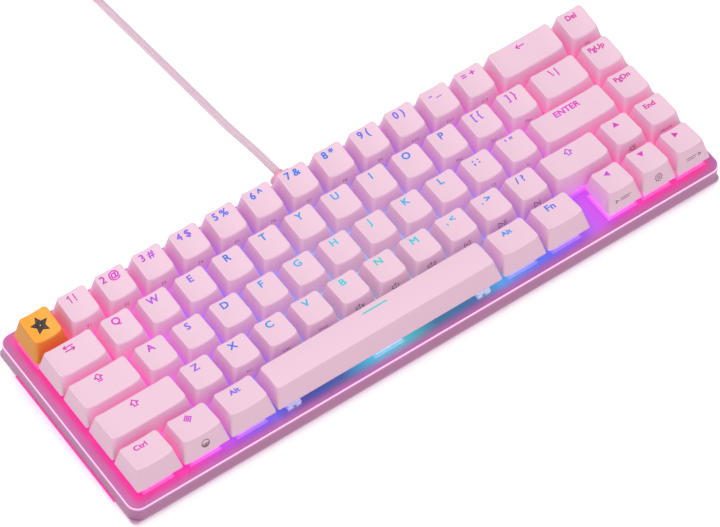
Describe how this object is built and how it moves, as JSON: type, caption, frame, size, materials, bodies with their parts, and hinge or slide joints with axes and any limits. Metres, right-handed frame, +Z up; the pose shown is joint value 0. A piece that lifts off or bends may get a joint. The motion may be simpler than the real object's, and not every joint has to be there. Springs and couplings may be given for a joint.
{
  "type": "mechanical keyboard",
  "caption": "Compact wired mechanical keyboard with sculpted keycaps on a metal plate, lit switches, a wedge case, flip feet and a braided lead.",
  "frame": {"origin": "middle of the footprint of the keyboard without its lead, on the surface it stands on", "axes": "+X along the key rows to the right, +Y to the back edge where the lead leaves, +Z up"},
  "size_m": [0.3146, 0.3136, 0.0412],
  "materials": {
    "keycap_pink": "double-shot, fine matte",
    "keycap_orange": "fine matte",
    "anodised_pink": "blasted and anodised, bright chamfer",
    "case_pink": "satin",
    "case_lip": "satin",
    "light_diffuser": "milky",
    "pcb": "solder mask",
    "chips": "moulded",
    "foam": "open-cell foam",
    "switch_clear": "clear",
    "switch_body": "milky",
    "spring_steel": "drawn",
    "contact_copper": "stamped",
    "socket_black": "moulded",
    "led": "clear resin",
    "stabilizer_plastic": "moulded",
    "usb_metal": "plated",
    "screw_steel": "blackened",
    "rubber": "matte",
    "braid_pink": "woven sleeve",
    "plug_pink": "soft moulded",
    "tie": "hook and loop",
    "wire_steel": "drawn"
  },
  "bodies": {
    "case": {"top_plate": "anodised_pink", "upper_case": "case_pink", "bottom_case": "case_lip", "light_strip_left": "light_diffuser", "light_strip_right": "light_diffuser", "side_light_boards": "pcb", "circuit_board": "pcb", "board_chips": "chips", "plate_foam": "foam", "case_foam": "foam", "switch_lower_housings": "switch_body", "switch_upper_housings": "switch_clear", "switch_springs": "spring_steel", "switch_contacts": "contact_copper", "switch_sockets": "socket_black", "switch_leds": "led", "stabilizer_housings": "stabilizer_plastic", "usb_socket": "usb_metal", "case_screws": "screw_steel", "rubber_feet": "rubber", "foot_pins": "screw_steel", "cable": "braid_pink", "cable_coil": "braid_pink", "cable_tie": "tie", "usb_c_plug_shell": "usb_metal", "usb_c_plug_grip": "plug_pink", "usb_a_plug_shell": "usb_metal", "usb_a_plug_grip": "plug_pink"},
    "key_escape": {"key_escape": "keycap_orange"},
    "key_backspace": {"key_backspace": "keycap_pink"},
    "key_delete": {"key_delete": "keycap_pink"},
    "key_tab": {"key_tab": "keycap_pink"},
    "key_backslash": {"key_backslash": "keycap_pink"},
    "key_page_up": {"key_page_up": "keycap_pink"},
    "key_caps_lock": {"key_caps_lock": "keycap_pink"},
    "key_enter": {"key_enter": "keycap_pink"},
    "key_page_down": {"key_page_down": "keycap_pink"},
    "key_shift_left": {"key_shift_left": "keycap_pink"},
    "key_shift_right": {"key_shift_right": "keycap_pink"},
    "key_arrow_up": {"key_arrow_up": "keycap_pink"},
    "key_end": {"key_end": "keycap_pink"},
    "key_control": {"key_control": "keycap_pink"},
    "key_super": {"key_super": "keycap_pink"},
    "key_alt_left": {"key_alt_left": "keycap_pink"},
    "key_space": {"key_space": "keycap_pink"},
    "key_alt_right": {"key_alt_right": "keycap_pink"},
    "key_function": {"key_function": "keycap_pink"},
    "key_arrow_left": {"key_arrow_left": "keycap_pink"},
    "key_arrow_down": {"key_arrow_down": "keycap_pink"},
    "key_arrow_right": {"key_arrow_right": "keycap_pink"},
    "keys_number_row": {"keys_number_row": "keycap_pink"},
    "keys_top_letter_row": {"keys_top_letter_row": "keycap_pink"},
    "keys_home_row": {"keys_home_row": "keycap_pink"},
    "keys_bottom_letter_row": {"keys_bottom_letter_row": "keycap_pink"},
    "stabilizer_wire_backspace": {"stabilizer_wire_backspace": "wire_steel"},
    "stabilizer_wire_enter": {"stabilizer_wire_enter": "wire_steel"},
    "stabilizer_wire_shift_left": {"stabilizer_wire_shift_left": "wire_steel"},
    "stabilizer_wire_space": {"stabilizer_wire_space": "wire_steel"},
    "flip_foot_left": {"flip_foot_left": "case_lip"},
    "flip_foot_right": {"flip_foot_right": "case_lip"}
  },
  "joints": [
    {"name": "press_escape", "type": "slide", "parent": "case", "child": "key_escape", "axis": [0, 0.1045, -0.9945], "range_m": [0, 0.004], "stiffness_N_per_m": 75, "springref_m": -0.004, "deforming": ["switch_springs"]},
    {"name": "press_backspace", "type": "slide", "parent": "case", "child": "key_backspace", "axis": [0, 0.1045, -0.9945], "range_m": [0, 0.004], "stiffness_N_per_m": 75, "springref_m": -0.004, "deforming": ["switch_springs"]},
    {"name": "press_delete", "type": "slide", "parent": "case", "child": "key_delete", "axis": [0, 0.1045, -0.9945], "range_m": [0, 0.004], "stiffness_N_per_m": 75, "springref_m": -0.004, "deforming": ["switch_springs"]},
    {"name": "press_tab", "type": "slide", "parent": "case", "child": "key_tab", "axis": [0, 0.1045, -0.9945], "range_m": [0, 0.004], "stiffness_N_per_m": 75, "springref_m": -0.004, "deforming": ["switch_springs"]},
    {"name": "press_backslash", "type": "slide", "parent": "case", "child": "key_backslash", "axis": [0, 0.1045, -0.9945], "range_m": [0, 0.004], "stiffness_N_per_m": 75, "springref_m": -0.004, "deforming": ["switch_springs"]},
    {"name": "press_page_up", "type": "slide", "parent": "case", "child": "key_page_up", "axis": [0, 0.1045, -0.9945], "range_m": [0, 0.004], "stiffness_N_per_m": 75, "springref_m": -0.004, "deforming": ["switch_springs"]},
    {"name": "press_caps_lock", "type": "slide", "parent": "case", "child": "key_caps_lock", "axis": [0, 0.1045, -0.9945], "range_m": [0, 0.004], "stiffness_N_per_m": 75, "springref_m": -0.004, "deforming": ["switch_springs"]},
    {"name": "press_enter", "type": "slide", "parent": "case", "child": "key_enter", "axis": [0, 0.1045, -0.9945], "range_m": [0, 0.004], "stiffness_N_per_m": 75, "springref_m": -0.004, "deforming": ["switch_springs"]},
    {"name": "press_page_down", "type": "slide", "parent": "case", "child": "key_page_down", "axis": [0, 0.1045, -0.9945], "range_m": [0, 0.004], "stiffness_N_per_m": 75, "springref_m": -0.004, "deforming": ["switch_springs"]},
    {"name": "press_shift_left", "type": "slide", "parent": "case", "child": "key_shift_left", "axis": [0, 0.1045, -0.9945], "range_m": [0, 0.004], "stiffness_N_per_m": 75, "springref_m": -0.004, "deforming": ["switch_springs"]},
    {"name": "press_shift_right", "type": "slide", "parent": "case", "child": "key_shift_right", "axis": [0, 0.1045, -0.9945], "range_m": [0, 0.004], "stiffness_N_per_m": 75, "springref_m": -0.004, "deforming": ["switch_springs"]},
    {"name": "press_arrow_up", "type": "slide", "parent": "case", "child": "key_arrow_up", "axis": [0, 0.1045, -0.9945], "range_m": [0, 0.004], "stiffness_N_per_m": 75, "springref_m": -0.004, "deforming": ["switch_springs"]},
    {"name": "press_end", "type": "slide", "parent": "case", "child": "key_end", "axis": [0, 0.1045, -0.9945], "range_m": [0, 0.004], "stiffness_N_per_m": 75, "springref_m": -0.004, "deforming": ["switch_springs"]},
    {"name": "press_control", "type": "slide", "parent": "case", "child": "key_control", "axis": [0, 0.1045, -0.9945], "range_m": [0, 0.004], "stiffness_N_per_m": 75, "springref_m": -0.004, "deforming": ["switch_springs"]},
    {"name": "press_super", "type": "slide", "parent": "case", "child": "key_super", "axis": [0, 0.1045, -0.9945], "range_m": [0, 0.004], "stiffness_N_per_m": 75, "springref_m": -0.004, "deforming": ["switch_springs"]},
    {"name": "press_alt_left", "type": "slide", "parent": "case", "child": "key_alt_left", "axis": [0, 0.1045, -0.9945], "range_m": [0, 0.004], "stiffness_N_per_m": 75, "springref_m": -0.004, "deforming": ["switch_springs"]},
    {"name": "press_space", "type": "slide", "parent": "case", "child": "key_space", "axis": [0, 0.1045, -0.9945], "range_m": [0, 0.004], "stiffness_N_per_m": 75, "springref_m": -0.004, "deforming": ["switch_springs"]},
    {"name": "press_alt_right", "type": "slide", "parent": "case", "child": "key_alt_right", "axis": [0, 0.1045, -0.9945], "range_m": [0, 0.004], "stiffness_N_per_m": 75, "springref_m": -0.004, "deforming": ["switch_springs"]},
    {"name": "press_function", "type": "slide", "parent": "case", "child": "key_function", "axis": [0, 0.1045, -0.9945], "range_m": [0, 0.004], "stiffness_N_per_m": 75, "springref_m": -0.004, "deforming": ["switch_springs"]},
    {"name": "press_arrow_left", "type": "slide", "parent": "case", "child": "key_arrow_left", "axis": [0, 0.1045, -0.9945], "range_m": [0, 0.004], "stiffness_N_per_m": 75, "springref_m": -0.004, "deforming": ["switch_springs"]},
    {"name": "press_arrow_down", "type": "slide", "parent": "case", "child": "key_arrow_down", "axis": [0, 0.1045, -0.9945], "range_m": [0, 0.004], "stiffness_N_per_m": 75, "springref_m": -0.004, "deforming": ["switch_springs"]},
    {"name": "press_arrow_right", "type": "slide", "parent": "case", "child": "key_arrow_right", "axis": [0, 0.1045, -0.9945], "range_m": [0, 0.004], "stiffness_N_per_m": 75, "springref_m": -0.004, "deforming": ["switch_springs"]},
    {"name": "press_number_row", "type": "slide", "parent": "case", "child": "keys_number_row", "axis": [0, 0.1045, -0.9945], "range_m": [0, 0.004], "stiffness_N_per_m": 900, "springref_m": -0.004, "deforming": ["switch_springs"]},
    {"name": "press_top_letter_row", "type": "slide", "parent": "case", "child": "keys_top_letter_row", "axis": [0, 0.1045, -0.9945], "range_m": [0, 0.004], "stiffness_N_per_m": 900, "springref_m": -0.004, "deforming": ["switch_springs"]},
    {"name": "press_home_row", "type": "slide", "parent": "case", "child": "keys_home_row", "axis": [0, 0.1045, -0.9945], "range_m": [0, 0.004], "stiffness_N_per_m": 825, "springref_m": -0.004, "deforming": ["switch_springs"]},
    {"name": "press_bottom_letter_row", "type": "slide", "parent": "case", "child": "keys_bottom_letter_row", "axis": [0, 0.1045, -0.9945], "range_m": [0, 0.004], "stiffness_N_per_m": 750, "springref_m": -0.004, "deforming": ["switch_springs"]},
    {"name": "wire_turn_backspace", "type": "hinge", "parent": "case", "child": "stabilizer_wire_backspace", "pos_m": [0.1143, 0.02786, 0.01914], "axis": [1, 0, 0], "range_deg": [-28.5, 0]},
    {"name": "wire_turn_enter", "type": "hinge", "parent": "case", "child": "stabilizer_wire_enter", "pos_m": [0.11192, -0.01003, 0.01516], "axis": [1, 0, 0], "range_deg": [-28.5, 0]},
    {"name": "wire_turn_shift_left", "type": "hinge", "parent": "case", "child": "stabilizer_wire_shift_left", "pos_m": [-0.13097, -0.02898, 0.01317], "axis": [1, 0, 0], "range_deg": [-28.5, 0]},
    {"name": "wire_turn_space", "type": "hinge", "parent": "case", "child": "stabilizer_wire_space", "pos_m": [-0.02143, -0.04793, 0.01118], "axis": [1, 0, 0], "range_deg": [-28.5, 0]},
    {"name": "foot_fold_left", "type": "hinge", "parent": "case", "child": "flip_foot_left", "pos_m": [-0.11, 0.042, 0.0039], "axis": [1, 0, 0], "range_deg": [0, 90]},
    {"name": "foot_fold_right", "type": "hinge", "parent": "case", "child": "flip_foot_right", "pos_m": [0.11, 0.042, 0.0039], "axis": [1, 0, 0], "range_deg": [0, 90]}
  ],
  "couplings": [
    {"joint": "wire_turn_backspace", "follows": "press_backspace", "rad_per_m": -121.78},
    {"joint": "wire_turn_enter", "follows": "press_enter", "rad_per_m": -121.78},
    {"joint": "wire_turn_shift_left", "follows": "press_shift_left", "rad_per_m": -121.78},
    {"joint": "wire_turn_space", "follows": "press_space", "rad_per_m": -121.78}
  ]
}
